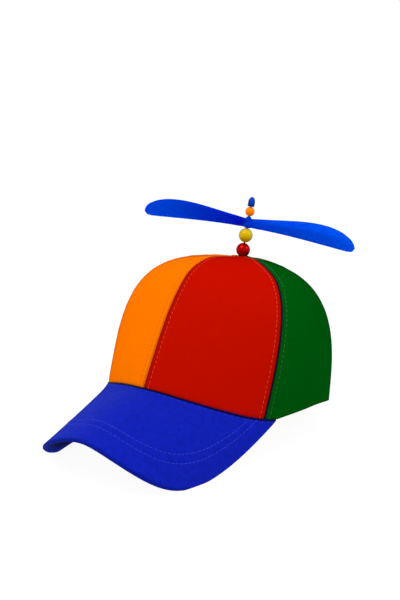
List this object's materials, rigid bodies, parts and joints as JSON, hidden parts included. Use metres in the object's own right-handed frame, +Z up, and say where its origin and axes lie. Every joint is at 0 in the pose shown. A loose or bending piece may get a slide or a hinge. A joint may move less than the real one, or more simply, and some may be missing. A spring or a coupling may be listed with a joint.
{
  "type": "propeller beanie",
  "caption": "Cloth cap with coloured sewn panels, a curved peak and a twisted propeller that spins on a beaded mast.",
  "frame": {"origin": "on the ground, under the middle of the bounding box", "axes": "+Z up, -Y the way the peak points, +X the wearer's left"},
  "size_m": [0.179, 0.2616, 0.1838],
  "materials": {
    "red_cloth": "fine cotton twill, tonal topstitching along its seams",
    "orange_cloth": "fine cotton twill",
    "green_cloth": "fine cotton twill, lighter topstitching along its seams",
    "blue_cloth": "cotton twill over a stiff core, two rows of light stitching",
    "red_plastic": "polished, moulded",
    "yellow_plastic": "polished, moulded",
    "orange_plastic": "polished, moulded",
    "blue_plastic": "satin, moulded",
    "cap_plastic": "polished, moulded",
    "pin_steel": "plain drawn wire"
  },
  "bodies": {
    "cap": {"crown_front_left": "red_cloth", "crown_front_right": "orange_cloth", "crown_side_left": "green_cloth", "crown_side_right": "green_cloth", "crown_back_left": "orange_cloth", "crown_back_right": "red_cloth", "peak": "blue_cloth", "mast_pin": "pin_steel", "lower_bead": "red_plastic", "middle_bead": "yellow_plastic", "upper_bead": "orange_plastic", "mast_cap": "cap_plastic"},
    "propeller": {"propeller": "blue_plastic"}
  },
  "joints": [
    {"name": "propeller_spin", "type": "hinge", "parent": "cap", "child": "propeller", "pos_m": [0.00149, 0.07796, 0.16276], "axis": [0.0523, 0.2014, 0.9781], "continuous": true}
  ]
}
